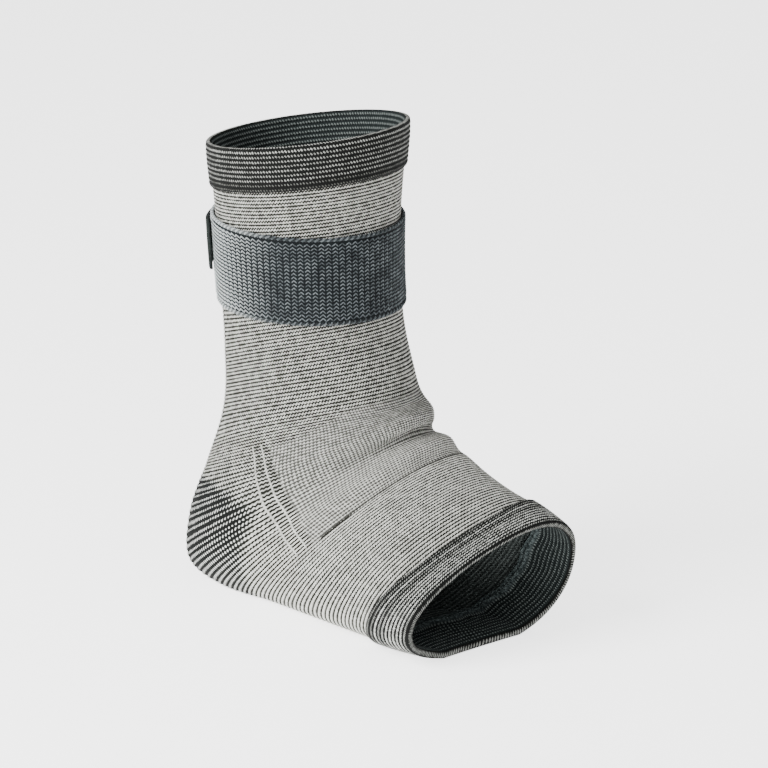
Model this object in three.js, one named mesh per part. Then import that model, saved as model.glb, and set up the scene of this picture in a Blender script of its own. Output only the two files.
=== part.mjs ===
// A knitted ankle brace in the form of a right foot and lower leg: an open-toed sleeve knitted
// in one piece, a folded cuff over each of its two ends, an elastic strap wound once round the
// leg, and the hook tab that fastens the strap's free end behind the heel.
// Millimetres, +Z up, toes towards -Y, outer side of the foot towards -X. The brace stands on
// its sole, and the origin lies on the floor under the middle of its outline.
import * as THREE from "three";

// Overall form
const LEG_HEIGHT = 216; // floor to the middle of the top rim
const FOOT_LENGTH = 172; // back of the heel to the middle of the toe rim
const LEG_DEPTH = 82; // front to back across the leg, under the strap
const LEG_WIDTH = 77; // side to side across the leg, under the strap
const HEEL_DEPTH = 140; // from the heel's lower corner to the front of the ankle
const HEEL_WIDTH = 66; // side to side across the heel
const TOE_DEPTH = 51; // sole to instep at the toe rim
const TOE_WIDTH = 94; // side to side at the toe rim
const SOLE_PRESS = 4; // how far the round sole is pressed flat by the floor

// Fabric
const KNIT_WALL = 1.3; // thickness of the sleeve
const CUFF_LAYER = 1.1; // thickness of one layer of a folded cuff
const TOP_CUFF = 19; // length of the top cuff along the leg
const TOE_CUFF = 19; // length of the toe cuff along the foot
const CUFF_EASE = 7; // length over which the sole rises onto the toe cuff
const SEAT_GAP = 0.3; // clearance between pieces that lie on each other

// Strap and tab
const STRAP_WIDTH = 39;
const STRAP_THICKNESS = 1.5;
const STRAP_DROP = 59; // how far the strap's middle lies below the top rim's, at the back
const STRAP_RISE = -1; // how much higher the strap sits at the front than at the back
const STRAP_CROWN = 0.5; // how far the middle of the strap stands out beyond its edges
const STRAP_START = -0.09; // turn at which the sewn end lies
const STRAP_END = 1.0; // turn at which the free end lies
const STRAP_EASE = 0.07; // turns over which the free end climbs onto the sewn end
const TAB_HEIGHT = 22;
const TAB_THICKNESS = 1.6;
const TAB_START = 0.955; // turn at which the tab starts under the free end
const TAB_END = 1.14; // turn at which its tip lies
const TAB_RAISE = 6; // how far the tab's middle lies above the strap's
const TAB_LIFT = 0.4; // how far the tab's tip stands off the strap

// Mesh density
const AROUND = 40; // facets round every ring
const SLEEVE_ROWS = 46; // rows of facets along the sleeve
const STRAP_ROWS = 4; // rows of facets across the strap
const NORMAL_STEP = 0.25; // distance, and share of a facet, over which the surface slope is taken

// Sections of the sleeve from the top rim to the toe rim. Each is a ring in a plane that holds
// the side-to-side direction. out and up place its back or sole point, lean is the plane's slope
// in degrees, depth runs from that point to the front or instep, square is the fullness of the
// ring's corners (2 is an ellipse), wedge is how much deeper the inner side is, and lead how far
// the inner side lies ahead of the outer side, as a share of the width.
const SECTIONS = [
  { out: 0.115 * FOOT_LENGTH, up: 0.955 * LEG_HEIGHT, lean: 9, depth: 1.08 * LEG_DEPTH, width: 1.14 * LEG_WIDTH, square: 2.0, wedge: 0, lead: 0 },
  { out: 0.128 * FOOT_LENGTH, up: 0.865 * LEG_HEIGHT, lean: 9, depth: 1.03 * LEG_DEPTH, width: 1.07 * LEG_WIDTH, square: 2.0, wedge: 0, lead: 0 },
  { out: 0.140 * FOOT_LENGTH, up: 0.700 * LEG_HEIGHT, lean: 10, depth: 0.99 * LEG_DEPTH, width: 1.00 * LEG_WIDTH, square: 2.0, wedge: 0, lead: 0 },
  { out: 0.158 * FOOT_LENGTH, up: 0.520 * LEG_HEIGHT, lean: 12, depth: 0.99 * LEG_DEPTH, width: 1.00 * LEG_WIDTH, square: 2.0, wedge: 0, lead: 0 },
  { out: 0.132 * FOOT_LENGTH, up: 0.380 * LEG_HEIGHT, lean: 14, depth: 0.70 * HEEL_DEPTH, width: 1.10 * HEEL_WIDTH, square: 2.0, wedge: 0, lead: 0 },
  { out: 0.062 * FOOT_LENGTH, up: 0.250 * LEG_HEIGHT, lean: 21, depth: 0.88 * HEEL_DEPTH, width: 1.06 * HEEL_WIDTH, square: 2.0, wedge: 0, lead: 0 },
  { out: -0.004 * FOOT_LENGTH, up: 0.125 * LEG_HEIGHT, lean: 27, depth: 1.05 * HEEL_DEPTH, width: 1.03 * HEEL_WIDTH, square: 2.1, wedge: 0, lead: 0 },
  { out: -0.005 * FOOT_LENGTH, up: 0.020 * LEG_HEIGHT, lean: 33, depth: 1.12 * HEEL_DEPTH, width: 1.03 * HEEL_WIDTH, square: 2.2, wedge: 0, lead: 0 },
  { out: 0.120 * FOOT_LENGTH, up: -1.0 * SOLE_PRESS, lean: 38, depth: 1.04 * HEEL_DEPTH, width: 1.05 * HEEL_WIDTH, square: 2.2, wedge: 0.02, lead: 0.02 },
  { out: 0.310 * FOOT_LENGTH, up: -1.0 * SOLE_PRESS, lean: 44, depth: 0.86 * HEEL_DEPTH, width: 1.12 * HEEL_WIDTH, square: 2.2, wedge: 0.05, lead: 0.03 },
  { out: 0.500 * FOOT_LENGTH, up: -1.0 * SOLE_PRESS, lean: 52, depth: 1.88 * TOE_DEPTH, width: 0.86 * TOE_WIDTH, square: 2.2, wedge: 0.09, lead: 0.05 },
  { out: 0.680 * FOOT_LENGTH, up: -1.0 * SOLE_PRESS, lean: 61, depth: 1.53 * TOE_DEPTH, width: 0.92 * TOE_WIDTH, square: 2.2, wedge: 0.12, lead: 0.06 },
  { out: 0.840 * FOOT_LENGTH, up: -0.7 * SOLE_PRESS, lean: 70, depth: 1.23 * TOE_DEPTH, width: 0.97 * TOE_WIDTH, square: 2.2, wedge: 0.20, lead: 0.08 },
  { out: 0.965 * FOOT_LENGTH, up: -0.2 * SOLE_PRESS, lean: 79, depth: 1.00 * TOE_DEPTH, width: 1.00 * TOE_WIDTH, square: 2.2, wedge: 0.24, lead: 0.10 },
];

// Folds across the front of the ankle, where the knit bunches. at is the place along the sleeve
// as a share of its length, depth is how far the fold stands out, spread its half width along
// the sleeve, and slant how far it drops towards the outer side, as shares of the heel's depth.
const FOLDS = [
  { at: 0.450, depth: -0.010 * HEEL_DEPTH, spread: 0.055 * HEEL_DEPTH, slant: 0.22 * HEEL_DEPTH },
  { at: 0.515, depth: 0.022 * HEEL_DEPTH, spread: 0.060 * HEEL_DEPTH, slant: 0.24 * HEEL_DEPTH },
  { at: 0.592, depth: -0.032 * HEEL_DEPTH, spread: 0.060 * HEEL_DEPTH, slant: 0.24 * HEEL_DEPTH },
  { at: 0.660, depth: 0.018 * HEEL_DEPTH, spread: 0.055 * HEEL_DEPTH, slant: 0.18 * HEEL_DEPTH },
  { at: 0.712, depth: -0.010 * HEEL_DEPTH, spread: 0.040 * HEEL_DEPTH, slant: 0.14 * HEEL_DEPTH },
];
const FOLD_TURN = 0.43; // turn at which the folds are deepest, on the outer side of the front
const FOLD_REACH = 0.33; // turns over which the folds fade to nothing on either side of it

// Path of the sleeve: how far along the middle of the sections each of them lies
const COLUMNS = ["out", "up", "lean", "depth", "width", "square", "wedge", "lead"];
const middles = SECTIONS.map(({ out, up, lean, depth }) => {
  const slope = THREE.MathUtils.degToRad(lean);
  return new THREE.Vector2(out + (depth / 2) * Math.cos(slope), up + (depth / 2) * Math.sin(slope));
});
const distances = middles.map(() => 0);
for (let i = 1; i < middles.length; i++) {
  distances[i] = distances[i - 1] + middles[i].distanceTo(middles[i - 1]);
}
const PATH_LENGTH = distances[distances.length - 1];
const sectionTrack = new THREE.CubicInterpolant(
  distances,
  SECTIONS.flatMap((section) => COLUMNS.map((column) => section[column])),
  COLUMNS.length,
  new Float64Array(COLUMNS.length),
);

function sectionAt(along) {
  const values = sectionTrack.evaluate(THREE.MathUtils.clamp(along, 0, PATH_LENGTH));
  return Object.fromEntries(COLUMNS.map((column, i) => [column, values[i]]));
}

// A sine or cosine flattened into the side of a fuller ring
function fuller(value, square) {
  return Math.sign(value) * Math.pow(Math.abs(value), 2 / square);
}

// The knitted surface before the floor flattens it. turn runs once round the ring: 0 at the back
// or sole, 0.25 at the outer side, 0.5 at the front or instep.
function smoothSkin(along, turn) {
  const section = sectionAt(along);
  const angle = 2 * Math.PI * turn;
  const side = -fuller(Math.sin(angle), section.square);
  const share = (1 - fuller(Math.cos(angle), section.square)) / 2;
  const reach = section.depth * share * (1 + section.wedge * side);
  const slope = THREE.MathUtils.degToRad(section.lean);
  return new THREE.Vector3(
    (section.width / 2) * side,
    -section.out - reach * Math.cos(slope) - (section.lead * section.width * side) / 2,
    section.up + reach * Math.sin(slope),
  );
}

// Outward direction of a surface given as a function of the distance along and the turn
function outwards(surface, along, turn) {
  const turnStep = NORMAL_STEP / AROUND;
  const down = surface(along + NORMAL_STEP, turn).sub(surface(along - NORMAL_STEP, turn));
  const round = surface(along, turn + turnStep).sub(surface(along, turn - turnStep));
  return down.cross(round).normalize();
}

// How far the folds stand out at a place on the skin
function foldHeight(along, turn) {
  const away = Math.min(1, Math.abs(turn - FOLD_TURN) / FOLD_REACH);
  const fade = Math.pow(Math.cos((Math.PI / 2) * away), 3);
  return FOLDS.reduce((height, fold) => {
    const offset = along - fold.at * PATH_LENGTH - fold.slant * (0.5 - turn);
    return height + fold.depth * fade * Math.exp(-((offset / fold.spread) ** 2));
  }, 0);
}

function foldedSkin(along, turn) {
  const point = smoothSkin(along, turn);
  return point.addScaledVector(outwards(smoothSkin, along, turn), foldHeight(along, turn));
}

// Height of the sleeve's underside: on the floor, and raised onto the toe cuff at its end
function soleHeight(along) {
  const start = PATH_LENGTH - TOE_CUFF - CUFF_EASE;
  return (CUFF_LAYER + SEAT_GAP) * THREE.MathUtils.smoothstep(along, start, start + CUFF_EASE);
}

// A point on a layer that lies off the sleeve's outer face, pressed flat by the floor. Past
// either end of the sleeve the layer runs straight on.
function layerPoint(along, turn, offset) {
  const inside = THREE.MathUtils.clamp(along, NORMAL_STEP, PATH_LENGTH - NORMAL_STEP);
  const point = foldedSkin(inside, turn);
  point.addScaledVector(outwards(foldedSkin, inside, turn), offset);
  point.z = Math.max(point.z, soleHeight(inside) - offset);
  return point;
}

// A closed solid from a grid of points: rings of equal length, each joined to the next, with the
// last joined to the first where the grid closes on itself, and flat ends where it doesn't.
function solidFromRings(rings, closed) {
  const size = rings[0].length;
  const positions = rings.flat().flatMap((point) => point.toArray());
  const faces = [];
  const last = closed ? rings.length : rings.length - 1;
  for (let i = 0; i < last; i++) {
    const here = i * size;
    const next = ((i + 1) % rings.length) * size;
    for (let j = 0; j < size; j++) {
      const k = (j + 1) % size;
      faces.push(here + j, here + k, next + k, here + j, next + k, next + j);
    }
  }
  if (!closed) {
    const end = (rings.length - 1) * size;
    for (let j = 1; j < size - 1; j++) {
      faces.push(0, j + 1, j, end, end + j, end + j + 1);
    }
  }
  const geometry = new THREE.BufferGeometry();
  geometry.setAttribute("position", new THREE.Float32BufferAttribute(positions, 3));
  geometry.setIndex(faces);
  geometry.computeVertexNormals();
  return geometry;
}

function turns(from, to) {
  const count = Math.round((to - from) * AROUND);
  return Array.from({ length: count + 1 }, (_, i) => from + ((to - from) * i) / count);
}

function ringTurns() {
  return Array.from({ length: AROUND }, (_, i) => i / AROUND);
}

// The sleeve: one wall from cuff to cuff, with open ends inside the cuffs' folds
function sleeveGeometry() {
  const start = CUFF_LAYER + SEAT_GAP;
  const end = PATH_LENGTH - CUFF_LAYER - SEAT_GAP;
  const stations = Array.from(
    { length: SLEEVE_ROWS + 1 },
    (_, i) => start + ((end - start) * i) / SLEEVE_ROWS,
  );
  const profile = [
    ...stations.map((along) => [along, 0]),
    ...stations.toReversed().map((along) => [along, -KNIT_WALL]),
  ];
  return solidFromRings(
    ringTurns().map((turn) => profile.map(([along, offset]) => layerPoint(along, turn, offset))),
    true,
  );
}

// A cuff: a band folded over the sleeve's end, so that its section is a hairpin. The fold lies at
// the rim, and both layers run the length of the cuff along the sleeve.
function cuffGeometry(rim, length) {
  const inwards = rim === 0 ? 1 : -1;
  const at = (distance) => rim + inwards * distance;
  const outer = SEAT_GAP + CUFF_LAYER;
  const inner = -KNIT_WALL - SEAT_GAP - CUFF_LAYER;
  const rounding = CUFF_LAYER / 2;
  const profile = [
    [at(length), outer - rounding],
    [at(length - rounding), outer],
    [at(length / 2), outer],
    [at(rounding), outer],
    [at(0), outer - rounding],
    [at(0), inner + rounding],
    [at(rounding), inner],
    [at(length / 2), inner],
    [at(length - rounding), inner],
    [at(length), inner + rounding],
    [at(length), -KNIT_WALL - SEAT_GAP],
    [at(length / 2), -KNIT_WALL - SEAT_GAP],
    [at(CUFF_LAYER), -KNIT_WALL - SEAT_GAP],
    [at(CUFF_LAYER), SEAT_GAP],
    [at(length / 2), SEAT_GAP],
    [at(length), SEAT_GAP],
  ];
  const ordered = rim === 0 ? profile.toReversed() : profile;
  return solidFromRings(
    ringTurns().map((turn) => ordered.map(([along, offset]) => layerPoint(along, turn, offset))),
    true,
  );
}

// The place along the leg where the skin reaches a given height, found by halving
function alongAtHeight(turn, height) {
  let high = 0;
  let low = distances[4];
  for (let i = 0; i < 30; i++) {
    const middle = (high + low) / 2;
    if (foldedSkin(middle, turn).z > height) {
      high = middle;
    } else {
      low = middle;
    }
  }
  return (high + low) / 2;
}

function strapMiddle(turn) {
  return LEG_HEIGHT - STRAP_DROP + (STRAP_RISE * (1 - Math.cos(2 * Math.PI * turn))) / 2;
}

// How far the strap's inner face lies off the sleeve: against it, and over the sewn end and the
// tab where the free end closes the wrap
function strapOffset(turn) {
  const lap = STRAP_START + 1;
  const climb = THREE.MathUtils.smoothstep(turn, lap - STRAP_EASE, lap);
  return SEAT_GAP + climb * (STRAP_THICKNESS + STRAP_CROWN + TAB_THICKNESS + 2 * SEAT_GAP);
}

// A band that lies round the leg: a rounded flat section carried from one turn to another
function bandGeometry(from, to, middle, height, offset, thickness, crown) {
  const rings = turns(from, to).map((turn) => {
    const ring = [];
    for (const face of [0, 1]) {
      for (let i = 0; i <= STRAP_ROWS; i++) {
        const share = face === 0 ? i / STRAP_ROWS : 1 - i / STRAP_ROWS;
        const across = 2 * share - 1;
        const along = alongAtHeight(turn, middle(turn) + (across * height) / 2);
        const stand = offset(turn) + face * (thickness + crown * (1 - across ** 4));
        ring.push(layerPoint(along, turn, stand));
      }
    }
    return ring;
  });
  return solidFromRings(rings, false);
}

function strapGeometry() {
  return bandGeometry(
    STRAP_START, STRAP_END, strapMiddle, STRAP_WIDTH, strapOffset, STRAP_THICKNESS, STRAP_CROWN,
  );
}

function tabGeometry() {
  const offset = (turn) =>
    2 * SEAT_GAP + STRAP_THICKNESS + STRAP_CROWN +
    TAB_LIFT * THREE.MathUtils.smoothstep(turn, STRAP_END, TAB_END);
  return bandGeometry(
    TAB_START, TAB_END, (turn) => strapMiddle(turn) + TAB_RAISE, TAB_HEIGHT, offset, TAB_THICKNESS, 0,
  );
}

function knit(colour, roughness) {
  return new THREE.MeshStandardMaterial({ color: colour, roughness, metalness: 0 });
}

const brace = new THREE.Group();

function addPiece(name, geometry, material) {
  const mesh = new THREE.Mesh(geometry, material);
  mesh.name = name;
  brace.add(mesh);
}

addPiece("knit_sleeve", sleeveGeometry(), knit(0xb4b4ae, 0.95));
addPiece("top_cuff", cuffGeometry(0, TOP_CUFF), knit(0x5c5e58, 0.95));
addPiece("toe_cuff", cuffGeometry(PATH_LENGTH, TOE_CUFF), knit(0x5c5e58, 0.95));
addPiece("wrap_strap", strapGeometry(), knit(0x5e686c, 0.9));
addPiece("hook_tab", tabGeometry(), knit(0x3c423f, 1.0));

// The origin goes to the floor under the middle of the outline
const outline = new THREE.Box3().setFromObject(brace);
const middle = outline.getCenter(new THREE.Vector3());
brace.position.set(-middle.x, -middle.y, 0);

export default brace;
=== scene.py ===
import math

import bpy
import numpy as np
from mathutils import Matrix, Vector


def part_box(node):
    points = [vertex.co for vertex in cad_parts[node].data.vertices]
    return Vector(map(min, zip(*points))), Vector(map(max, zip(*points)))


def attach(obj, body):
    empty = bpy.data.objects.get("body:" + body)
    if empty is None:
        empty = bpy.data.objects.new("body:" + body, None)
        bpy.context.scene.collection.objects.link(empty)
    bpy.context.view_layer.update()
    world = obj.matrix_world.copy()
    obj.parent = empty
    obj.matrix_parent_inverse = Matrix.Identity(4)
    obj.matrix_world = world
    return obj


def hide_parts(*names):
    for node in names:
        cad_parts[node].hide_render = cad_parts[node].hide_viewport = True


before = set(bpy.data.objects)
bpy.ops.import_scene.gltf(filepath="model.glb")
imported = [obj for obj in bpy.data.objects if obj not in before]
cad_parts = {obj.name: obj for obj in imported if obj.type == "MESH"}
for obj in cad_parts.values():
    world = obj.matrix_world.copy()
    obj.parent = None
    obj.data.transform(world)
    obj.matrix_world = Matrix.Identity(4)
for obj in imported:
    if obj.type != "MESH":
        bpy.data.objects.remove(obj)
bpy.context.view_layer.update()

# Camera, light and floor
# The photograph looks down a little on the brace's outer side, with a long lens. A large soft
# light stands to the left, with weaker ones high in front and to the right.

AIM = (0.0102, -0.0101, 0.1025)
CAMERA_TURN, CAMERA_RISE, CAMERA_FAR = math.radians(-48), math.radians(17.5), 2.8
LENS = 302


def unit(turn, rise):
    """Direction from the brace towards a place turned about +Z from the front and raised."""
    return np.array([
        math.sin(turn) * math.cos(rise), -math.cos(turn) * math.cos(rise), math.sin(rise),
    ])


def look_from(thing, place, aim):
    """Stands a camera or lamp at a place and turns it to look at another."""
    thing.location = Vector(place)
    thing.rotation_mode = "QUATERNION"
    thing.rotation_quaternion = (Vector(aim) - Vector(place)).to_track_quat("-Z", "Y")


camera_data = bpy.data.cameras.new("camera")
camera_data.lens = LENS
camera_data.sensor_width = 36
camera_data.clip_end = 50
camera = bpy.data.objects.new("camera", camera_data)
bpy.context.scene.collection.objects.link(camera)
look_from(camera, np.array(AIM) + CAMERA_FAR * unit(CAMERA_TURN, CAMERA_RISE), AIM)
bpy.context.scene.camera = camera


def softbox(name, turn, rise, far, wide, watts):
    """A square area light that faces the middle of the brace, with its turn and rise in degrees
    and its distance and width in metres."""
    data = bpy.data.lights.new(name, "AREA")
    data.shape, data.size, data.energy = "SQUARE", wide, watts
    lamp = bpy.data.objects.new(name, data)
    bpy.context.scene.collection.objects.link(lamp)
    look_from(lamp, np.array(AIM) + far * unit(math.radians(turn), math.radians(rise)), AIM)


softbox("window light", turn=-108, rise=32, far=1.5, wide=0.9, watts=50)
softbox("front light", turn=-30, rise=55, far=2.0, wide=1.6, watts=14)
softbox("right light", turn=70, rise=30, far=1.8, wide=1.0, watts=2)

ROOM_LIGHT, FLOOR_GLOW, FLOOR_HALF = 0.5, 2.4, 6000
world = bpy.data.worlds.new("studio")
world.use_nodes = True
background = world.node_tree.nodes["Background"]
background.inputs["Color"].default_value = (1, 1, 1, 1)
background.inputs["Strength"].default_value = ROOM_LIGHT
bpy.context.scene.world = world


def mesh_from(name, points, faces, smooth=True):
    """A mesh object from an array of points in millimetres and an array of faces."""
    mesh = bpy.data.meshes.new(name)
    mesh.from_pydata(points * 0.001, [], faces)
    mesh.polygons.foreach_set("use_smooth", np.full(len(mesh.polygons), smooth))
    piece = bpy.data.objects.new(name, mesh)
    bpy.context.scene.collection.objects.link(piece)
    return piece


def plain_material(name, colour, roughness):
    """A material of one colour and roughness, for its nodes to be added to."""
    material = bpy.data.materials.new(name)
    material.use_nodes = True
    shader = material.node_tree.nodes["Principled BSDF"]
    shader.inputs["Base Color"].default_value = (*colour, 1)
    shader.inputs["Roughness"].default_value = roughness
    return material


floor = mesh_from(
    "floor", FLOOR_HALF * np.array([[-1, -1, 0], [1, -1, 0], [1, 1, 0], [-1, 1, 0]]),
    [[0, 1, 2, 3]], smooth=False,
)
floor_white = plain_material("pale floor", (0.95, 0.95, 0.95), 0.9)
floor_shader = floor_white.node_tree.nodes["Principled BSDF"]
floor_shader.inputs["Emission Color"].default_value = (1, 1, 1, 1)
floor_shader.inputs["Emission Strength"].default_value = FLOOR_GLOW
floor.data.materials.append(floor_white)

# Sleeve
# A seamless elastic sleeve, knitted round and round in grey and dark yarn, from the top of the
# leg through the heel to the toes. Its worn form is a bent row of rings that fan about the front
# of the ankle, where the spare knit lies in folds, and its sole is pressed flat.

LEG_HEIGHT, FOOT_LENGTH = 216, 172
LEG_DEPTH, LEG_WIDTH = 82, 77
HEEL_DEPTH, HEEL_WIDTH = 140, 66
TOE_DEPTH, TOE_WIDTH = 51, 94
SOLE_PRESS = 4
KNIT_WALL, CUFF_LAYER, SEAT_GAP = 1.3, 1.1, 0.3
TOP_CUFF, TOE_CUFF, CUFF_EASE = 19, 26, 7

# out and up of each ring's back point, its slope in degrees, its depth and width, the fullness
# of its corners, how much deeper its inner side is, and how far that side leads
RINGS = np.array([
    [0.115 * FOOT_LENGTH, 0.955 * LEG_HEIGHT, 9, 1.08 * LEG_DEPTH, 1.14 * LEG_WIDTH, 2.0, 0, 0],
    [0.128 * FOOT_LENGTH, 0.865 * LEG_HEIGHT, 9, 1.03 * LEG_DEPTH, 1.07 * LEG_WIDTH, 2.0, 0, 0],
    [0.140 * FOOT_LENGTH, 0.700 * LEG_HEIGHT, 10, 0.99 * LEG_DEPTH, 1.00 * LEG_WIDTH, 2.0, 0, 0],
    [0.158 * FOOT_LENGTH, 0.520 * LEG_HEIGHT, 12, 0.99 * LEG_DEPTH, 1.00 * LEG_WIDTH, 2.0, 0, 0],
    [0.132 * FOOT_LENGTH, 0.380 * LEG_HEIGHT, 14, 0.70 * HEEL_DEPTH, 1.10 * HEEL_WIDTH, 2.0, 0, 0],
    [0.062 * FOOT_LENGTH, 0.250 * LEG_HEIGHT, 21, 0.88 * HEEL_DEPTH, 1.06 * HEEL_WIDTH, 2.0, 0, 0],
    [-0.004 * FOOT_LENGTH, 0.125 * LEG_HEIGHT, 27, 1.05 * HEEL_DEPTH, 1.03 * HEEL_WIDTH, 2.1, 0, 0],
    [-0.005 * FOOT_LENGTH, 0.020 * LEG_HEIGHT, 33, 1.12 * HEEL_DEPTH, 1.03 * HEEL_WIDTH, 2.2, 0, 0],
    [0.120 * FOOT_LENGTH, -SOLE_PRESS, 38, 1.04 * HEEL_DEPTH, 1.05 * HEEL_WIDTH, 2.2, 0.02, 0.02],
    [0.310 * FOOT_LENGTH, -SOLE_PRESS, 44, 0.86 * HEEL_DEPTH, 1.12 * HEEL_WIDTH, 2.2, 0.05, 0.03],
    [0.500 * FOOT_LENGTH, -SOLE_PRESS, 52, 1.88 * TOE_DEPTH, 0.86 * TOE_WIDTH, 2.2, 0.09, 0.05],
    [0.680 * FOOT_LENGTH, -SOLE_PRESS, 61, 1.53 * TOE_DEPTH, 0.92 * TOE_WIDTH, 2.2, 0.12, 0.06],
    [0.840 * FOOT_LENGTH, -0.7 * SOLE_PRESS, 70, 1.23 * TOE_DEPTH, 0.97 * TOE_WIDTH, 2.2, 0.20, 0.08],
    [0.965 * FOOT_LENGTH, -0.2 * SOLE_PRESS, 79, 1.00 * TOE_DEPTH, 1.00 * TOE_WIDTH, 2.2, 0.24, 0.10],
])
# place along the sleeve as a share of its length, then height, half width and slant of each fold
FOLDS = np.array([
    [0.450, -0.010 * HEEL_DEPTH, 0.055 * HEEL_DEPTH, 0.22 * HEEL_DEPTH],
    [0.515, 0.022 * HEEL_DEPTH, 0.060 * HEEL_DEPTH, 0.24 * HEEL_DEPTH],
    [0.592, -0.032 * HEEL_DEPTH, 0.060 * HEEL_DEPTH, 0.24 * HEEL_DEPTH],
    [0.660, 0.018 * HEEL_DEPTH, 0.055 * HEEL_DEPTH, 0.18 * HEEL_DEPTH],
    [0.712, -0.010 * HEEL_DEPTH, 0.040 * HEEL_DEPTH, 0.14 * HEEL_DEPTH],
])
FOLD_TURN, FOLD_REACH = 0.43, 0.33

ring_out, ring_up, ring_slope, ring_depth = RINGS[:, :4].T
ring_slope = np.radians(ring_slope)
middles = np.stack([
    ring_out + ring_depth / 2 * np.cos(ring_slope), ring_up + ring_depth / 2 * np.sin(ring_slope),
], 1)
ring_at = np.concatenate([[0], np.cumsum(np.linalg.norm(np.diff(middles, axis=0), axis=1))])
SLEEVE_LENGTH = ring_at[-1]


def ring_values(along):
    """The ring table read between its rows: a cubic from each row to the next whose slope at a
    row is set by the rows on either side, and straight off at the two ends."""
    end = len(ring_at) - 1
    i = np.clip(np.searchsorted(ring_at, along, side="right"), 1, end)
    before, after = ring_at[i - 1], ring_at[i]
    first, last = (i == 1), (i == end)
    row_before = np.where(first, i, i - 2)
    row_after = np.where(last, i - 1, np.minimum(i + 1, end))
    at_before = np.where(first, after, ring_at[np.maximum(i - 2, 0)])
    at_after = np.where(last, before, ring_at[np.minimum(i + 1, end)])
    early = 0.5 * (after - before) / (before - at_before)
    late = 0.5 * (after - before) / (at_after - after)
    share = (along - before) / (after - before)
    weights = (
        -early * share**3 + 2 * early * share**2 - early * share,
        (1 + early) * share**3 + (-1.5 - 2 * early) * share**2 + (-0.5 + early) * share + 1,
        (-1 - late) * share**3 + (1.5 + late) * share**2 + 0.5 * share,
        late * share**3 - late * share**2,
    )
    rows = (row_before, i - 1, i, row_after)
    return sum(w[..., None] * RINGS[r] for w, r in zip(weights, rows))


def smooth_skin(along, turn):
    """A point of the unfolded knit: on the ring at this distance along, at this turn round it.
    The ring is an ellipse with fuller corners, sloped forwards and up from its back point."""
    out, up, lean, depth, width, square, wedge, lead = np.moveaxis(ring_values(along), -1, 0)
    across = np.sin(2 * np.pi * turn)
    back = np.cos(2 * np.pi * turn)
    side = -np.sign(across) * np.abs(across) ** (2 / square)
    reach = depth * (1 - np.sign(back) * np.abs(back) ** (2 / square)) / 2 * (1 + wedge * side)
    slope = np.radians(lean)
    return np.stack([
        width / 2 * side, -out - reach * np.cos(slope) - lead * width * side / 2,
        up + reach * np.sin(slope),
    ], -1)


# a small step on the skin, in millimetres along it and in turns round it
STEP = 0.25
TURN_STEP = STEP / 40


def outwards(skin, along, turn):
    """The outward direction: across the two directions in which a small step moves the point."""
    down = skin(along + STEP, turn) - skin(along - STEP, turn)
    around = skin(along, turn + TURN_STEP) - skin(along, turn - TURN_STEP)
    normal = np.cross(down, around)
    return normal / np.linalg.norm(normal, axis=-1, keepdims=True)


def folded_skin(along, turn):
    """The knit with its folds: bell-shaped ridges and hollows, slanting down to the outer side,
    deepest at one turn and gone a third of a turn away from it."""
    fade = np.cos(np.pi / 2 * np.minimum(1, np.abs(turn - FOLD_TURN) / FOLD_REACH)) ** 3
    height = 0
    for at, depth, spread, slant in FOLDS:
        height = height + depth * fade * np.exp(
            -(((along - at * SLEEVE_LENGTH - slant * (0.5 - turn)) / spread) ** 2))
    return smooth_skin(along, turn) + height[..., None] * outwards(smooth_skin, along, turn)


def ease(value, start, end):
    """Runs smoothly from 0 at the start to 1 at the end."""
    share = np.clip((value - start) / (end - start), 0, 1)
    return share * share * (3 - 2 * share)


def layer(along, turn, offset):
    """A point at a distance off the sleeve's outer face, kept above the floor, in the frame
    whose origin is on the floor under the middle of the brace. Towards the toes the sole rises
    by the thickness of the cuff that lies under it."""
    along, turn, offset = np.broadcast_arrays(
        np.asarray(along, float), np.asarray(turn, float), np.asarray(offset, float))
    inside = np.clip(along, STEP, SLEEVE_LENGTH - STEP)
    point = folded_skin(inside, turn)
    point = point + offset[..., None] * outwards(folded_skin, inside, turn)
    start = SLEEVE_LENGTH - TOE_CUFF - CUFF_EASE
    sole = (CUFF_LAYER + SEAT_GAP) * ease(inside, start, start + CUFF_EASE)
    point[..., 2] = np.maximum(point[..., 2], np.maximum(0, sole - offset))
    point[..., 1] += frame_shift
    return point


# The rings are measured from the heel, and the frame from the middle of the whole brace. The
# rearmost point of the sleeve's solid, on its own grid of points, gives the shift between them.
SOLID_COLUMNS, SOLID_ROWS, SOLID_END = 40, 47, 1.4
frame_shift = 0.0
ring_turns, ring_alongs = np.meshgrid(
    np.arange(SOLID_COLUMNS) / SOLID_COLUMNS,
    np.linspace(SOLID_END, SLEEVE_LENGTH - SOLID_END, SOLID_ROWS))
solid_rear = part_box("knit_sleeve")[1].y * 1000
frame_shift = solid_rear - layer(ring_alongs, ring_turns, 0)[..., 1].max()


def closed_tube(name, rows):
    """A piece from rows of points that each run once round: the rows follow the section of the
    wall, outside and then back inside, and the last row joins the first."""
    count, size = rows.shape[:2]
    here = np.arange(count)[:, None] * size + np.arange(size)[None]
    beside = np.roll(here, -1, axis=1)
    below, across = np.roll(here, -1, axis=0), np.roll(beside, -1, axis=0)
    quads = np.stack([here, below, across, beside], -1).reshape(-1, 4)
    return mesh_from(name, rows.reshape(-1, 3), quads)


def number_stitches(piece, stitch, course):
    """Gives every face corner its stitch and course number. Both are given for each row and for
    one more column than the rows have, so that the pattern closes where the round does."""
    after = np.roll(np.arange(len(stitch)), -1)
    both = np.stack([stitch, course], -1)
    corners = np.stack([both[:, :-1], both[after, :-1], both[after, 1:], both[:, 1:]], 2)
    stitches = piece.data.uv_layers.new(name="stitches")
    stitches.data.foreach_set("uv", corners.reshape(-1).astype(np.float32))


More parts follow.
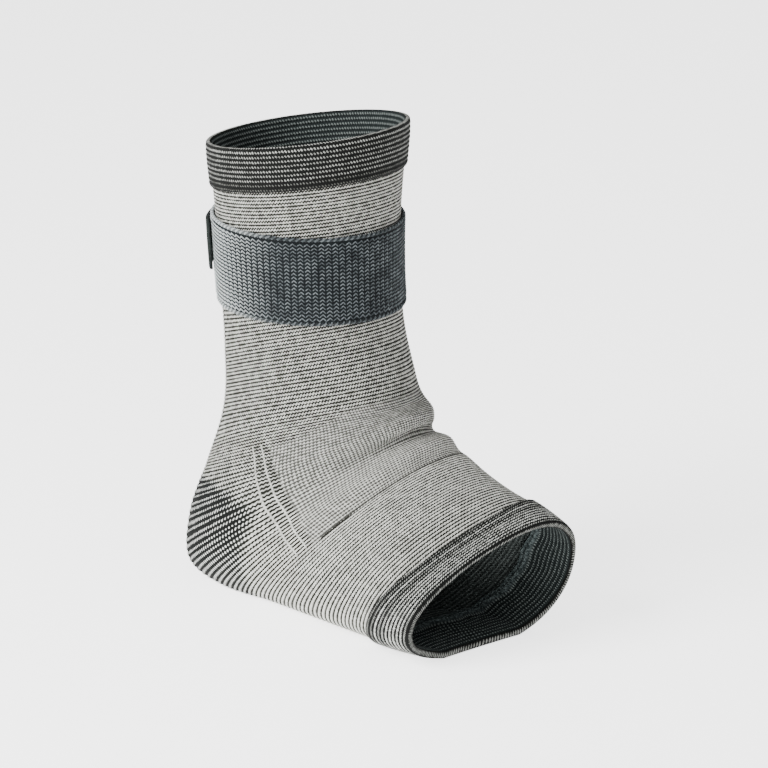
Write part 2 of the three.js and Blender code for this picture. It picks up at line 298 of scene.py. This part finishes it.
def mark(piece, name, values):
    """Stores three numbers at each point of a piece, for its material to read."""
    attribute = piece.data.attributes.new(name, "FLOAT_VECTOR", "POINT")
    attribute.data.foreach_set("vector", values.reshape(-1).astype(np.float32))


WALES = 190
COLUMNS = 176
# height of a course at some distances along: close on the leg, wider over the heel and foot
COURSE_PLACES = [0, 80, 125, 165, 240, 276]
COURSE_HEIGHTS = [1.6, 1.55, 1.75, 2.1, 2.05, 2.0]
fine_along = np.linspace(0, SLEEVE_LENGTH, 2000)
fine_course = np.concatenate([[0], np.cumsum(
    np.diff(fine_along) / np.interp(fine_along[1:], COURSE_PLACES, COURSE_HEIGHTS))])


def course_at(along):
    """The number of the course at a distance along: the sum of 1 over the course height."""
    return np.interp(along, fine_along, fine_course)


LEG_DROP, SOLE_DRAW = 10, 6


def course_along(course, turn):
    """The distance along of a course at a turn. On the lower leg the courses drop towards the
    back, and near the toes they draw back under the sole."""
    along = np.interp(course, fine_course, fine_along)
    back = (1 + np.cos(2 * np.pi * turn)) / 2
    leg = ease(along, 45, 88) * (1 - ease(along, 120, 146))
    toes = ease(along, 185, 225)
    return along + LEG_DROP * leg * back**2 - SOLE_DRAW * toes * back


# Rows of points: four to a course where the knit shows, and few where a cuff or the strap hides
# it. The sleeve's own ends lie inside the cuffs. Its inner rows are close where the folds are.
KNIT_END, TOE_SHOWN, STRAP_HIDES, FOLDS_INSIDE = 9, 15, (48, 64), (205, 110)
RIDGE, RIDGE_SIDE = 0.2, 0.08
first, last = course_at(KNIT_END), course_at(SLEEVE_LENGTH - KNIT_END)
shown_from = np.ceil(course_at(TOP_CUFF)) - 1
shown_to = np.floor(course_at(SLEEVE_LENGTH - TOE_SHOWN)) + 1
strap_from, strap_to = np.floor(course_at(STRAP_HIDES[0])), np.ceil(course_at(STRAP_HIDES[1]))
courses = np.concatenate([
    np.linspace(first, shown_from, 5)[:-1], np.arange(shown_from, strap_from, 0.25),
    np.linspace(strap_from, strap_to, 9)[:-1], np.arange(strap_to, shown_to, 0.25),
    np.linspace(shown_to, last, 3),
])
turns = np.arange(COLUMNS) / COLUMNS
ridge = np.where(courses % 1 == 0, -RIDGE, np.where(courses % 1 == 0.5, RIDGE, RIDGE_SIDE))
under_cuffs = (courses < shown_from) | (courses > shown_to)
under_strap = (courses > strap_from) & (courses < strap_to)
ridge[under_cuffs | under_strap] = 0
inner_courses = course_at(np.concatenate([
    np.linspace(SLEEVE_LENGTH - KNIT_END, FOLDS_INSIDE[0], 8)[:-1],
    np.linspace(*FOLDS_INSIDE, 36), np.linspace(FOLDS_INSIDE[1], KNIT_END, 10)[1:],
]))
row_course = np.concatenate([courses, inner_courses])
row_offset = np.concatenate([ridge, np.full(len(inner_courses), -KNIT_WALL)])
sleeve_along = course_along(row_course[:, None], turns[None])
sleeve = closed_tube("sleeve_knit", layer(sleeve_along, turns[None], row_offset[:, None]))
number_stitches(sleeve, *np.meshgrid(np.linspace(0, WALES, COLUMNS + 1), row_course))

# Areas of other stitches: a finer patch over the instep, two pale ribs that bound it at each
# side with dashes between them, and a darker patch round the heel
PANEL_START, PANEL_RISE, PANEL_END = 136, 14, 200.5
RIB_START, RIB_END = 134, 199.5
# The first rib's turn from the back at its middle, and how far its ends bend back from there
RIB_TURN, RIB_BEND, RIB_MIDDLE, RIB_HALF = 0.256, 0.026, 172, 38
PANEL_PAST_RIB, BORDER_TURN, ROUND = 0.026, 0.28, 300
from_back = np.broadcast_to(np.minimum(turns, 1 - turns)[None], sleeve_along.shape)
rib_turn = RIB_TURN - RIB_BEND * ((sleeve_along - RIB_MIDDLE) / RIB_HALF) ** 2
panel_start = PANEL_START - PANEL_RISE * ease(from_back, 0.27, 0.42)
past_ribs = (from_back - rib_turn - PANEL_PAST_RIB) * ROUND
panel = np.minimum(np.minimum(sleeve_along - panel_start, PANEL_END - sleeve_along), past_ribs)
rib_span = np.minimum(sleeve_along - RIB_START, RIB_END - sleeve_along)
mark(sleeve, "areas", np.stack([(from_back - rib_turn) * WALES, panel, rib_span], -1))
mark(sleeve, "ends", np.stack([
    sleeve_along - PANEL_END, from_back - BORDER_TURN, np.zeros_like(panel)], -1))

# How far the heel's darker patch reaches from the back, in turns, at some distances along
HEEL_PLACES = [136, 140, 146, 153, 163, 168, 175, 183, 192, 206]
HEEL_REACHES = [-0.05, 0.07, 0.165, 0.205, 0.245, 0.24, 0.215, 0.185, 0.14, -0.05]
HEEL_FADE = 0.45
LEG_GAP, FOOT_GAP, HEEL_GAP = 0.28, 0.12, 0.5
heel_reach = np.interp(sleeve_along, HEEL_PLACES, HEEL_REACHES)
heel = ease(heel_reach - from_back, -0.012, 0.02) * (1 - HEEL_FADE * ease(sleeve_along, 166, 195))
foot = ease(sleeve_along, 140, 185)
mark(sleeve, "weave", np.stack([LEG_GAP + FOOT_GAP * foot + HEEL_GAP * heel, heel, foot], -1))


def add_node(tree, kind, inputs=(), **settings):
    """Puts a node into a tree, with its settings, values and links."""
    node = tree.nodes.new(kind)
    for key, value in settings.items():
        setattr(node, key, value)
    for slot, value in dict(inputs).items():
        if isinstance(value, bpy.types.NodeSocket):
            tree.links.new(value, node.inputs[slot])
        else:
            node.inputs[slot].default_value = value
    return node


def reckon(tree, operation, a, b=0.0, c=0.0):
    """One step of arithmetic on numbers or node outputs."""
    return add_node(tree, "ShaderNodeMath", {0: a, 1: b, 2: c}, operation=operation).outputs[0]


def wave(tree, value):
    """A wave between 0 and 1 that is 1 at every whole number."""
    turned = reckon(tree, "MULTIPLY", value, 2 * math.pi)
    return reckon(tree, "MULTIPLY_ADD", reckon(tree, "COSINE", turned), 0.5, 0.5)


def rise(tree, value, start, end):
    """Goes from 0 to 1 while the value goes from the start to the end."""
    return add_node(tree, "ShaderNodeMapRange", {0: value, 1: start, 2: end},
                    interpolation_type="SMOOTHSTEP").outputs[0]


def blend(tree, share, low, high):
    """A colour between two colours or colour outputs."""
    low = low if isinstance(low, bpy.types.NodeSocket) else (*low, 1)
    high = high if isinstance(high, bpy.types.NodeSocket) else (*high, 1)
    return add_node(tree, "ShaderNodeMix", {0: share, 6: low, 7: high}, data_type="RGBA").outputs[2]


def knit_group():
    """Knitted courses: light stitches in rows, with a thin zigzag of dark yarn between the rows
    and smaller dark gaps between the stitches, each stitch a little different from the next.
    Puts out how much dark yarn shows, a number for each stitch, the slanting strokes between the
    stitches, and the height of the yarn."""
    group = bpy.data.node_groups.new("knitted courses", "ShaderNodeTree")
    for name in ("Gap", "Dark from", "Zigzag", "Slant", "Uneven"):
        group.interface.new_socket(name, in_out="INPUT", socket_type="NodeSocketFloat")
    for name in ("Dark", "Stitch", "Stroke", "Height"):
        group.interface.new_socket(name, in_out="OUTPUT", socket_type="NodeSocketFloat")
    start, end = group.nodes.new("NodeGroupInput"), group.nodes.new("NodeGroupOutput")
    place = add_node(group, "ShaderNodeUVMap", uv_map="stitches")
    split = add_node(group, "ShaderNodeSeparateXYZ", {0: place.outputs[0]})
    stitch, course = split.outputs[0], split.outputs[1]
    swing = reckon(group, "PINGPONG", stitch, 0.5)
    swing = reckon(group, "MULTIPLY", reckon(group, "SUBTRACT", swing, 0.25), start.outputs["Zigzag"])
    course_line = wave(group, reckon(group, "MULTIPLY_ADD", swing, 4.0, course))
    slanted = reckon(group, "MULTIPLY_ADD", course, start.outputs["Slant"], stitch)
    stroke = wave(group, slanted)
    gap = reckon(group, "MULTIPLY", stroke, start.outputs["Gap"])
    cell = add_node(group, "ShaderNodeCombineXYZ", {
        0: reckon(group, "FLOOR", stitch), 1: reckon(group, "ROUND", course)})
    chance = add_node(group, "ShaderNodeTexWhiteNoise", {0: cell.outputs[0]}, noise_dimensions="2D")
    loss = reckon(group, "MULTIPLY", chance.outputs[0], start.outputs["Uneven"])
    score = reckon(group, "SUBTRACT", reckon(group, "ADD", course_line, gap), loss)
    over = reckon(group, "SUBTRACT", score, start.outputs["Dark from"])
    group.links.new(rise(group, over, -0.14, 0.14), end.inputs["Dark"])
    group.links.new(chance.outputs[0], end.inputs["Stitch"])
    group.links.new(stroke, end.inputs["Stroke"])
    group.links.new(reckon(group, "SUBTRACT", 1.0, score), end.inputs["Height"])
    return group


knitted_courses = knit_group()


def knit_in(tree, gap, dark_from, zigzag=0.12, slant=0.6, uneven=0.3):
    """Places the knit pattern in a material with its own values."""
    node = add_node(tree, "ShaderNodeGroup", node_tree=knitted_courses)
    values = {"Gap": gap, "Dark from": dark_from, "Zigzag": zigzag, "Slant": slant, "Uneven": uneven}
    for slot, value in values.items():
        if isinstance(value, bpy.types.NodeSocket):
            tree.links.new(value, node.inputs[slot])
        else:
            node.inputs[slot].default_value = value
    return node.outputs


YARN_BUMP, YARN_GLOSS, YARN_DULL = 0.7, 0.08, 0.5


def finish_yarn(tree, colour, height, depth):
    """Leads a colour into the shader and bumps the surface by a height, for a depth in mm."""
    shader = tree.nodes["Principled BSDF"]
    shader.inputs["Diffuse Roughness"].default_value = YARN_DULL
    shader.inputs["Specular IOR Level"].default_value = YARN_GLOSS
    bump = add_node(tree, "ShaderNodeBump", {
        "Height": height, "Strength": YARN_BUMP, "Distance": depth * 0.001})
    tree.links.new(bump.outputs[0], shader.inputs["Normal"])
    tree.links.new(colour, shader.inputs["Base Color"])


def read_mark(tree, name):
    """The three numbers that a piece stores at each point."""
    values = add_node(tree, "ShaderNodeAttribute", attribute_name=name)
    return add_node(tree, "ShaderNodeSeparateXYZ", {0: values.outputs["Vector"]}).outputs


# The two ribs in wales from the first, how each fades at its sides, and where the dashes begin
# and end. Then how the line along the panel's lower end fades, in millimetres off it.
RIBS, RIB_FADE, DASH_START, DASH_END = (0.0, 2.85), (0.28, 0.1), (0.2, 0.4), (5.2, 4.9)
BORDER_FADE = (1.3, 0.7)


def sleeve_material():
    """Grey knit with dark courses, and its finer, ribbed and darker areas. The lower the value
    from which the yarn is dark, the more dark yarn shows."""
    material = plain_material("grey sleeve knit", (0.5, 0.5, 0.46), 0.92)
    tree = material.node_tree
    rib, inside_panel, ribbed = read_mark(tree, "areas")
    gap, heel_share, foot_share = read_mark(tree, "weave")
    in_panel = rise(tree, inside_panel, -0.4, 0.4)
    in_ribs = rise(tree, ribbed, -0.4, 0.4)
    near_ribs = [
        rise(tree, reckon(tree, "ABSOLUTE", reckon(tree, "SUBTRACT", rib, at)), *RIB_FADE)
        for at in RIBS
    ]
    rib_lines = reckon(tree, "MULTIPLY", reckon(tree, "MAXIMUM", *near_ribs), in_ribs)
    between = reckon(tree, "MULTIPLY", rise(tree, rib, *DASH_START), rise(tree, rib, *DASH_END))
    dashes = reckon(tree, "MULTIPLY", between, in_ribs)
    gap = reckon(tree, "MULTIPLY_ADD", in_panel, 0.35, gap)
    gap = reckon(tree, "MULTIPLY_ADD", dashes, -0.5, gap)
    dark_from = reckon(tree, "MULTIPLY_ADD", foot_share, 0.3, 0.37)
    dark_from = reckon(tree, "MULTIPLY_ADD", heel_share, -0.26, dark_from)
    dark_from = reckon(tree, "MULTIPLY_ADD", in_panel, 0.1, dark_from)
    dark_from = reckon(tree, "MULTIPLY_ADD", dashes, -0.4, dark_from)
    past_panel, past_rib, _ = read_mark(tree, "ends")
    at_panel_end = rise(tree, reckon(tree, "ABSOLUTE", past_panel), *BORDER_FADE)
    border = reckon(tree, "MULTIPLY", rise(tree, past_rib, 0.0, 0.004), at_panel_end)
    dark_from = reckon(tree, "MULTIPLY_ADD", border, -0.7, dark_from)
    zigzag = reckon(tree, "MULTIPLY_ADD", foot_share, -0.12, 0.16)
    uneven = reckon(tree, "MULTIPLY_ADD", foot_share, -0.2, 0.35)
    slant = reckon(tree, "MULTIPLY_ADD", in_panel, -0.6, 0.6)
    knit = knit_in(tree, gap=gap, dark_from=dark_from, zigzag=zigzag, slant=slant, uneven=uneven)
    panel_dark = reckon(tree, "MULTIPLY_ADD", in_panel, -0.12, 1.0)
    amount = reckon(tree, "MULTIPLY", knit["Dark"], panel_dark)
    amount = reckon(tree, "MULTIPLY", amount, reckon(tree, "SUBTRACT", 1.0, rib_lines))
    light = blend(tree, knit["Stitch"], (0.40, 0.40, 0.37), (0.60, 0.60, 0.56))
    stroke_share = reckon(tree, "MULTIPLY_ADD", foot_share, -0.5, 0.6)
    strokes = reckon(tree, "MULTIPLY", knit["Stroke"], stroke_share)
    light = blend(tree, strokes, light, (0.13, 0.13, 0.115))
    light = blend(tree, reckon(tree, "MULTIPLY", in_panel, 0.6), light, (0.42, 0.42, 0.39))
    light = blend(tree, heel_share, light, (0.62, 0.63, 0.60))
    dark = blend(tree, heel_share, (0.014, 0.015, 0.012), (0.005, 0.006, 0.0055))
    height = reckon(tree, "ADD", knit["Height"], rib_lines)
    finish_yarn(tree, blend(tree, amount, light, dark), height, 0.35)
    return material


def inside_material():
    """The dark back of the knit, with faint courses."""
    material = plain_material("inside of the sleeve", (0.01, 0.014, 0.015), 0.95)
    tree = material.node_tree
    knit = knit_in(tree, gap=0.5, dark_from=0.5)
    colour = blend(tree, knit["Dark"], (0.13, 0.148, 0.142), (0.045, 0.053, 0.051))
    finish_yarn(tree, colour, knit["Height"], 0.4)
    return material


sleeve.data.materials.append(sleeve_material())
sleeve.data.materials.append(inside_material())
inner_faces = np.zeros(len(sleeve.data.polygons), np.int32)
inner_faces[len(courses) * COLUMNS:] = 1
sleeve.data.polygons.foreach_set("material_index", inner_faces)
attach(sleeve, "root")
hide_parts("knit_sleeve")

# Cuffs
# Each end of the sleeve has a turned cuff of dark elastic knit, folded over the end outside and
# inside, with pale stitches in its rows, a rolled rim, and a loose overlocked edge inside.

CUFF_WALES = 200


def cuff_material():
    """Dark knit with rows of slanting pale stitches, dull teal on its inner layer."""
    material = plain_material("dark cuff knit", (0.05, 0.052, 0.048), 0.92)
    tree = material.node_tree
    row_light, within, edge = read_mark(tree, "rows")
    dark_from = reckon(tree, "MULTIPLY_ADD", row_light, 0.35, 0.22)
    gap = reckon(tree, "MULTIPLY_ADD", row_light, -0.3, 0.95)
    knit = knit_in(tree, gap=gap, dark_from=dark_from, zigzag=0.0, slant=0.9, uneven=0.25)
    dim = blend(tree, knit["Stitch"], (0.05, 0.052, 0.047), (0.12, 0.123, 0.113))
    bright = blend(tree, knit["Stitch"], (0.42, 0.43, 0.40), (0.60, 0.61, 0.58))
    light = blend(tree, rise(tree, row_light, 0.0, 1.0), dim, bright)
    light = blend(tree, within, light, (0.13, 0.148, 0.142))
    dark = blend(tree, within, (0.006, 0.0065, 0.006), (0.014, 0.018, 0.018))
    place = add_node(tree, "ShaderNodeTexCoord")
    fuzz = add_node(tree, "ShaderNodeTexNoise", {
        "Vector": place.outputs["Object"], "Scale": 900.0, "Detail": 3.0})
    fluffy = rise(tree, fuzz.outputs[0], 0.35, 0.7)
    fluff = blend(tree, fluffy, (0.02, 0.028, 0.029), (0.12, 0.145, 0.145))
    colour = blend(tree, knit["Dark"], light, dark)
    colour = blend(tree, reckon(tree, "MULTIPLY", edge, 0.85), colour, fluff)
    finish_yarn(tree, colour, knit["Height"], 0.4)
    return material


cuff_knit = cuff_material()

# The ridge of a cuff's course, how far the rim rounds over as a share of its half thickness,
# and the row number of the faces that lie against the sleeve, where they crease near the rim
CUFF_RIDGE, RIM_ROUND, UNSEEN, CREASE = 0.16, 0.7, 80, 0.2
# Rows given a lightness inside, and the shares of the length where the overlocked edge rises
# and falls
ROWS_INSIDE, EDGE_RISE, EDGE_FALL = 3, (0.76, 0.84), (0.96, 1.0)


def cuff(name, node, rim, rim_half, outer_length, inner_length, row_lights, edge_bulge):
    """A band folded over the sleeve's end. Its section is a hairpin: up the outer layer with a
    ridge for every course, round the rim, which is thinner, and back along the inner layer to
    an edge that may bulge. The two lengths may change with the turn. The lightness of the rows
    is given from the outer layer's edge, over the rim, to three rows inside."""
    rows_outside = len(row_lights) - ROWS_INSIDE
    inwards = 1 if rim == 0 else -1
    outer, inner = SEAT_GAP + CUFF_LAYER, -KNIT_WALL - SEAT_GAP - CUFF_LAYER
    middle = (outer + inner) / 2
    step = np.arange(rows_outside * 4 + 1) / 4
    share = 1 - step / rows_outside
    bend = np.linspace(0, np.pi, 9)[1:-1]
    ribbing = -CUFF_RIDGE * np.cos(2 * np.pi * step)
    pinch = (1 - share) ** 3 * (outer - middle - rim_half)
    # for each row of the section: share of the length, how far inside, offset and course
    section = np.concatenate([
        np.stack([share, np.zeros_like(share), outer + ribbing - pinch, step], 1),
        np.stack([-np.sin(bend), bend / np.pi,
                  middle + rim_half * np.cos(bend), rows_outside + bend / np.pi], 1),
        np.stack([share[::-1], np.ones_like(share), inner - ribbing[::-1] + pinch[::-1],
                  rows_outside + 1 + step], 1),
        [[1, 1, -KNIT_WALL - SEAT_GAP, UNSEEN], [CREASE, 1, -KNIT_WALL - SEAT_GAP, UNSEEN],
         [CREASE, 0, SEAT_GAP, UNSEEN], [1, 0, SEAT_GAP, UNSEEN]],
    ])
    part, deep, offset, number = section.T
    length = outer_length + (inner_length - outer_length) * deep[:, None]
    rim_along = rim_half * RIM_ROUND * (1 + np.minimum(part, 0))
    along = rim_along[:, None] + length * np.maximum(part, 0)[:, None]
    within = (deep == 1) & (number < UNSEEN)
    edge = ease(part, *EDGE_RISE) * (1 - ease(part, *EDGE_FALL)) * within
    points = layer(rim + inwards * along, turns[None], (offset - edge_bulge * edge)[:, None])
    lights = np.interp(number, np.arange(len(row_lights)) + 0.5, row_lights)
    marks = np.stack([lights, within, edge], -1)
    if rim == 0:
        points, number, marks = points[::-1], number[::-1], marks[::-1]
    piece = closed_tube(name, points)
    number_stitches(piece, *np.meshgrid(np.linspace(0, CUFF_WALES, COLUMNS + 1), number))
    mark(piece, "rows", np.repeat(marks[:, None], COLUMNS, 1))
    piece.data.materials.append(cuff_knit)
    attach(piece, "root")
    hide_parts(node)


cuff("top_cuff_knit", "top_cuff", rim=0, rim_half=1.15, outer_length=TOP_CUFF,
     inner_length=TOP_CUFF, edge_bulge=0.0,
     row_lights=[0.0, 0.12, 0.4, 0.34, 0.42, 0.32, 0.4, 0.36, 0.5, 0.5, 0.6, 0.6])

# The toe cuff's outer layer is shorter over the instep, and the edge of its inner layer is wavy
TOE_OUTER, TOE_SHORTER, TOE_INNER = TOE_CUFF - 1, 9.4, 23
over_instep = ((1 - np.cos(2 * np.pi * (turns[None] + 0.04))) / 2) ** 3
long_wave, short_wave = np.sin(14 * np.pi * turns[None]), np.sin(32 * np.pi * turns[None] + 1)
cuff("toe_cuff_knit", "toe_cuff", rim=SLEEVE_LENGTH, rim_half=1.7,
     outer_length=TOE_OUTER - TOE_SHORTER * over_instep,
     inner_length=TOE_INNER + 0.7 * long_wave + 0.5 * short_wave,
     edge_bulge=1.5,
     row_lights=[0.35, 0.4, 0.95, 0.45, 0.6, 0.9, 0.85, 0.9, 0.85, 0.85, 0.5, 0.3, 0.3, 0.4])

# Strap
# A coarse elastic strap, knitted in slate yarn, is wound once round the leg. Rows of arrow
# stitches stand on a darker ground, between a corded upper edge and a looped lower one.

STRAP_WIDTH, STRAP_THICKNESS, STRAP_CROWN, TAB_THICKNESS = 39, 1.5, 0.5, 1.6
STRAP_BELOW_TOP, STRAP_RISE = 59, -1
STRAP_START, STRAP_END = -0.09, 1.0
# Turns over which the free end climbs on to the sewn end and the tab, and how far it climbs
CLIMB_START, CLIMB_END = 0.84, 0.91
STRAP_CLIMB = STRAP_THICKNESS + STRAP_CROWN + TAB_THICKNESS + 2 * SEAT_GAP


def strap_middle(turn):
    """The height of the strap's middle line, which changes smoothly from the back to the front."""
    return LEG_HEIGHT - STRAP_BELOW_TOP + STRAP_RISE * (1 - np.cos(2 * np.pi * turn)) / 2


def along_at_height(height, turn):
    """The distance along at which the skin has a height at a turn, found by halving."""
    low, high = np.zeros(np.shape(height)), np.full(np.shape(height), ring_at[4])
    for _ in range(20):
        half = (low + high) / 2
        above = smooth_skin(half, turn)[..., 2] > height
        low, high = np.where(above, half, low), np.where(above, high, half)
    return (low + high) / 2


def strap_point(turn, over, offset):
    """A point of the strap: at a turn, at a height over the strap's middle line, and at a
    distance off the skin. Near its free end the strap climbs over its own sewn end."""
    turn, over, offset = np.broadcast_arrays(turn, over, offset)
    lifted = SEAT_GAP + STRAP_CLIMB * ease(turn, CLIMB_START, CLIMB_END)
    return layer(along_at_height(strap_middle(turn) + over, turn), turn, lifted + offset)


def tube_mesh(rings):
    """Points and faces of tubes whose rings are given for each tube, place and corner, with a
    face across each of their two ends."""
    tubes, places, corners = rings.shape[:3]
    index = np.arange(tubes * places * corners).reshape(tubes, places, corners)
    here, after = index[:, :-1], index[:, 1:]
    quads = np.stack([
        here, np.roll(here, -1, axis=2), np.roll(after, -1, axis=2), after], -1).reshape(-1, 4)
    ends = np.concatenate([index[:, 0, ::-1], index[:, -1]])
    return rings.reshape(-1, 3), quads.tolist() + ends.tolist()


YARN_SIDES = 5


def yarns(name, turn, over, offset, radius):
    """Yarns of round section along paths on the strap. Each ring of a yarn stands across its
    path, whose direction is the difference between the path's neighbouring points."""
    path = strap_point(turn, over, offset)
    up = strap_point(turn, over, offset + 0.5) - path
    ahead = np.gradient(path, axis=1)
    ahead /= np.linalg.norm(ahead, axis=-1, keepdims=True)
    up -= (up * ahead).sum(-1, keepdims=True) * ahead
    up /= np.linalg.norm(up, axis=-1, keepdims=True)
    side = np.cross(ahead, up)[:, :, None]
    angle = 2 * np.pi * np.arange(YARN_SIDES)[:, None] / YARN_SIDES
    rings = path[:, :, None] + radius * (np.cos(angle) * up[:, :, None] + np.sin(angle) * side)
    return mesh_from(name, *tube_mesh(rings))


# The way towards the back of the outer side, and where along it the strap's yarn is lightened, in
# metres: painted light where the window light falls
LIT_SIDE_WAY, LIT_SIDE_START, LIT_SIDE_END = (-0.67, 0.74), 0.030, 0.056


def yarn_material(name, light, shade, pale=0.0):
    """Yarn of a lighter and a darker strand, with a slight sheen. On the outer side of the leg,
    towards the back, where the window light falls, the yarn is lightened by the share pale: painted
    light."""
    material = plain_material(name, light, 0.75)
    tree = material.node_tree
    place = add_node(tree, "ShaderNodeTexCoord").outputs["Object"]
    split = add_node(tree, "ShaderNodeSeparateXYZ", {0: place}).outputs
    back = reckon(tree, "MULTIPLY", split[1], LIT_SIDE_WAY[1])
    outer_back = reckon(tree, "MULTIPLY_ADD", split[0], LIT_SIDE_WAY[0], back)
    # painted light: the yarn is lightened on the side that faces the window light
    painted_light_share = reckon(tree, "MULTIPLY", rise(tree, outer_back, LIT_SIDE_START, LIT_SIDE_END), pale)
    fine, broad = (
        add_node(tree, "ShaderNodeTexNoise", {
            "Vector": place, "Scale": scale, "Detail": 2.0}).outputs[0]
        for scale in (1500.0, 250.0))
    mixed = reckon(tree, "MULTIPLY_ADD", fine, 0.6, reckon(tree, "MULTIPLY", broad, 0.5))
    colour = blend(tree, rise(tree, mixed, 0.4, 0.7), shade, light)
    finish_yarn(tree, blend(tree, painted_light_share, colour, (0.62, 0.66, 0.66)), fine, 0.15)
    tree.nodes["Principled BSDF"].inputs["Sheen Weight"].default_value = 0.03
    return material


EDGE_ROOM = 0.6
half = STRAP_WIDTH / 2 - EDGE_ROOM
# the ground's crowned section: height over the middle line, and distance off the skin
ground = np.array([
    [-half, 0.15], [-half, 0.8], [-half + 1, 1.15], [-half / 2, 1.35], [0, 1.4], [half / 2, 1.35],
    [half - 1, 1.15], [half, 0.8], [half, 0.15], [half / 2, 0.0], [0, 0.0], [-half / 2, 0.0],
])
ground_turns = np.linspace(STRAP_START, STRAP_END, 150)[:, None]
ground_rings = strap_point(ground_turns, ground[None, ::-1, 0], ground[None, ::-1, 1])
strap_ground = mesh_from("strap_ground", *tube_mesh(ground_rings[None]))
strap_ground.data.materials.append(yarn_material(
    "dark strap ground", (0.007, 0.01, 0.011), (0.003, 0.004, 0.005)))

STRAP_COLUMNS, STRAP_ROWS, ROW_PITCH = 85, 21, 1.66
# a row's distance off the skin, how far its arrows point up and stand out, its yarn's radius
ROW_OFF, ARROW_UP, ARROW_OUT, ARROW_YARN = 1.45, 0.8, 0.5, 0.27
column = np.arange(int(STRAP_COLUMNS * (STRAP_END - STRAP_START)) * 4 + 1)[None] / 4
arrow = 1 - 4 * np.abs(column % 1 - 0.5)
row_over = (np.arange(STRAP_ROWS)[:, None] - (STRAP_ROWS - 1) / 2) * ROW_PITCH - 0.2
arrow_rows = yarns("strap_arrow_stitches", STRAP_START + column / STRAP_COLUMNS,
                   row_over + ARROW_UP * arrow, ROW_OFF + ARROW_OUT * arrow, ARROW_YARN)

# Each edge is two strands twisted round each other
EDGE_TWISTS, CORD_YARN, LOOP_YARN = 96, 0.45, 0.36
twist = np.arange(int(EDGE_TWISTS * (STRAP_END - STRAP_START)) * 6 + 1)[None] / 6
edge_turn = STRAP_START + twist / EDGE_TWISTS
wound = 2 * np.pi * (twist + np.array([[0.0], [0.5]]))
top_edge = yarns("strap_corded_edge", edge_turn, half - 0.1 + 0.5 * np.sin(wound),
                 1.1 + 0.5 * np.cos(wound), CORD_YARN)
bottom_edge = yarns("strap_looped_edge", edge_turn, -half + 0.1 + 0.65 * np.sin(wound),
                    1.0 + 0.6 * np.cos(wound), LOOP_YARN)
# The last number of each yarn is its share of painted light on the side that faces the window light
slate_yarn = yarn_material("slate strap yarn", (0.15, 0.17, 0.178), (0.032, 0.039, 0.042), 0.6)
dark_yarn = yarn_material("dark strap edge yarn", (0.03, 0.036, 0.038), (0.008, 0.01, 0.011), 0.2)
for piece in (arrow_rows, top_edge, bottom_edge):
    piece.data.materials.append(slate_yarn)
    piece.data.materials.append(dark_yarn)
for piece in (top_edge, bottom_edge):
    # the second of the two twisted strands is dark
    sides = len(piece.data.polygons) - 4
    strand = np.concatenate([np.arange(sides) * 2 // sides, [0, 1, 0, 1]])
    piece.data.polygons.foreach_set("material_index", strand.astype(np.int32))
for piece in (strap_ground, arrow_rows, top_edge, bottom_edge):
    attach(piece, "root")
    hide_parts("wrap_strap")

# Hook tab
# A strip of dark hook fabric, sewn under the strap's free end and pressed on to its sewn end.
# Its bare end, past the strap, stands off a little, and its face is rough with small hooks.

TAB_HEIGHT, TAB_RAISE, TAB_LIFT = 22, 6, 0.4
TAB_START, TAB_END = 0.955, 1.14


def tab_point(turn, over, offset):
    """A point of the tab: over the strap's sewn end, and lifted off it towards its bare end."""
    turn, over, offset = np.broadcast_arrays(turn, over, offset)
    height = strap_middle(turn) + TAB_RAISE + over
    stand_off = TAB_LIFT * ease(turn, STRAP_END, TAB_END)
    base = 2 * SEAT_GAP + STRAP_THICKNESS + STRAP_CROWN + stand_off
    return layer(along_at_height(height, turn), turn, base + offset)


tab_half = TAB_HEIGHT / 2
tab_section = np.array([
    [-tab_half, 0.1], [-tab_half, TAB_THICKNESS - 0.4], [-tab_half + 0.4, TAB_THICKNESS - 0.1],
    [0, TAB_THICKNESS], [tab_half - 0.4, TAB_THICKNESS - 0.1], [tab_half, TAB_THICKNESS - 0.4],
    [tab_half, 0.1], [0, 0.0],
])
tab_turns = np.linspace(TAB_START, TAB_END, 30)[:, None]
tab_rings = tab_point(tab_turns, tab_section[None, ::-1, 0], tab_section[None, ::-1, 1])
tab = mesh_from("hook_tab_fabric", *tube_mesh(tab_rings[None]))
tab.data.materials.append(yarn_material(
    "dark hook fabric", (0.02, 0.026, 0.024), (0.004, 0.005, 0.005)))
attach(tab, "root")
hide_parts("hook_tab")
